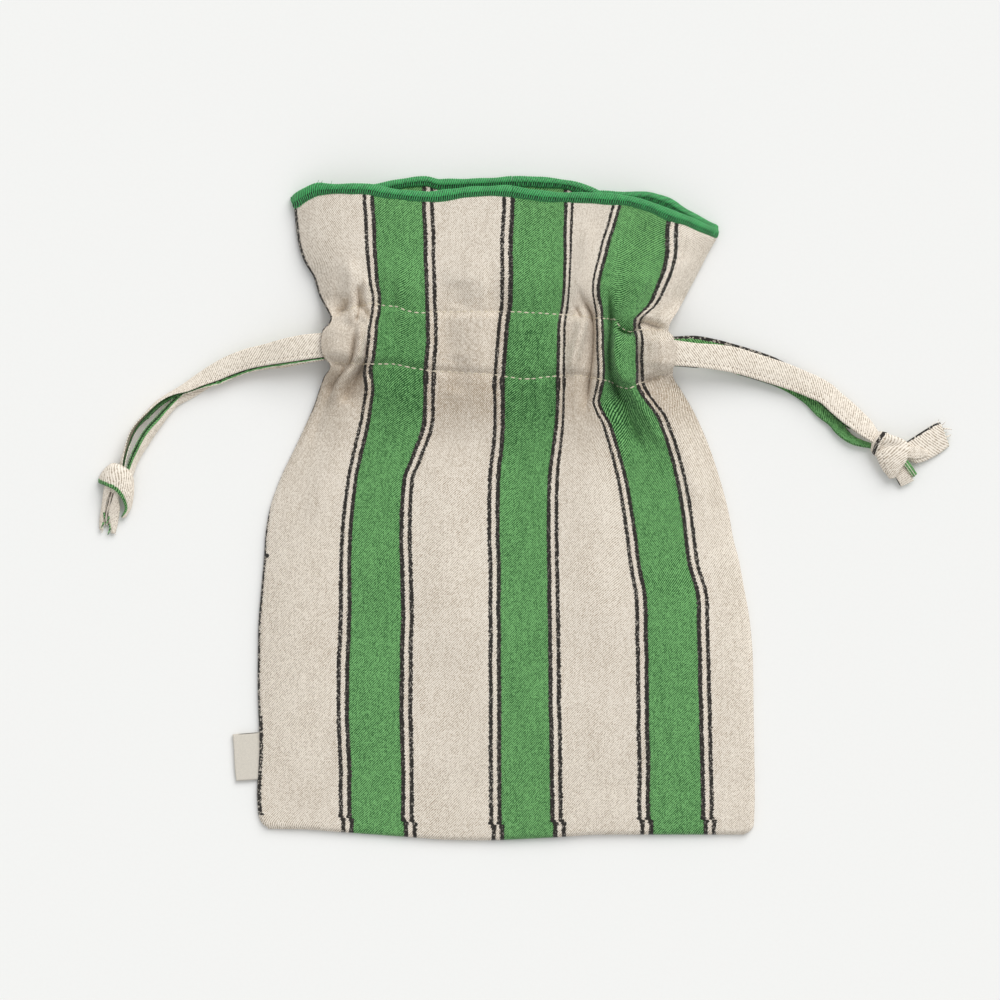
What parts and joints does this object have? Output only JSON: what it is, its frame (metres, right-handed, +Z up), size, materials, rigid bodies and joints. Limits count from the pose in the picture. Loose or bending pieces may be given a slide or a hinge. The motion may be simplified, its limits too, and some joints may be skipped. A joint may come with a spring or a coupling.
{
  "type": "drawstring pouch",
  "caption": "Small flat cloth pouch with an open frilled mouth, a sewn channel round its neck and crossed drawstring tapes, knotted at either side, that gather it shut.",
  "frame": {"origin": "middle of the back panel's underside, on the surface that the pouch lies on", "axes": "the pouch lies on its back: +Y runs from the bottom seam to the mouth, +X to the right of someone looking down on its front, +Z up out of the front panel"},
  "size_m": [0.3217, 0.2534, 0.0154],
  "materials": {
    "linen_cloth": "plain woven natural linen with printed green stripes and fine dark lines, matt",
    "linen_tape": "flat folded tape of the same linen, edge stitched, matt",
    "edging_thread": "dense green overlock thread, slight sheen",
    "sewing_thread": "cream sewing thread",
    "label_tape": "off-white woven ribbon, folded, bare"
  },
  "bodies": {
    "pouch": {"front_panel": "linen_cloth", "back_panel": "linen_cloth", "front_casing": "linen_cloth", "back_casing": "linen_cloth", "front_mouth_edging": "edging_thread", "back_mouth_edging": "edging_thread", "front_upper_stitching": "sewing_thread", "front_lower_stitching": "sewing_thread", "back_upper_stitching": "sewing_thread", "back_lower_stitching": "sewing_thread", "bottom_seam": "linen_cloth"},
    "left_side": {"left_side_seam": "linen_cloth", "left_mouth_seam": "linen_cloth"},
    "right_side": {"right_side_seam": "linen_cloth", "right_mouth_seam": "linen_cloth"},
    "left_string": {"left_tape_loop": "linen_tape", "left_front_tail": "linen_tape", "left_back_tail": "linen_tape", "left_knot": "linen_tape", "left_front_end": "linen_tape", "left_back_end": "linen_tape"},
    "right_string": {"right_tape_loop": "linen_tape", "right_front_tail": "linen_tape", "right_back_tail": "linen_tape", "right_knot": "linen_tape", "right_front_end": "linen_tape", "right_back_end": "linen_tape"},
    "label": {"side_label": "label_tape"}
  },
  "joints": [
    {"name": "left_string_pull", "type": "slide", "parent": "pouch", "child": "left_string", "axis": [-0.9848, -0.1736, 0], "range_m": [-0.01, 0.03], "deforming": ["front_panel", "back_panel", "front_casing", "back_casing", "front_mouth_edging", "back_mouth_edging", "front_upper_stitching", "front_lower_stitching", "back_upper_stitching", "back_lower_stitching"]},
    {"name": "right_string_pull", "type": "slide", "parent": "pouch", "child": "right_string", "axis": [0.9848, -0.1736, 0], "range_m": [-0.01, 0.03]},
    {"name": "left_side_gather", "type": "hinge", "parent": "pouch", "child": "left_side", "pos_m": [-0.08, -0.12475, 0], "axis": [0, 0, -1], "range_deg": [-3, 9]},
    {"name": "right_side_gather", "type": "hinge", "parent": "pouch", "child": "right_side", "pos_m": [0.08, -0.12475, 0], "axis": [0, 0, 1], "range_deg": [-3, 9]},
    {"name": "label_flap", "type": "hinge", "parent": "left_side", "child": "label", "pos_m": [-0.095, 0, 0.0009], "axis": [0, 1, 0], "range_deg": [0, 120]}
  ],
  "couplings": [
    {"joint": "right_string_pull", "follows": "left_string_pull", "ratio": 1},
    {"joint": "left_side_gather", "follows": "left_string_pull", "rad_per_m": 5.2},
    {"joint": "right_side_gather", "follows": "left_string_pull", "rad_per_m": 5.2}
  ]
}
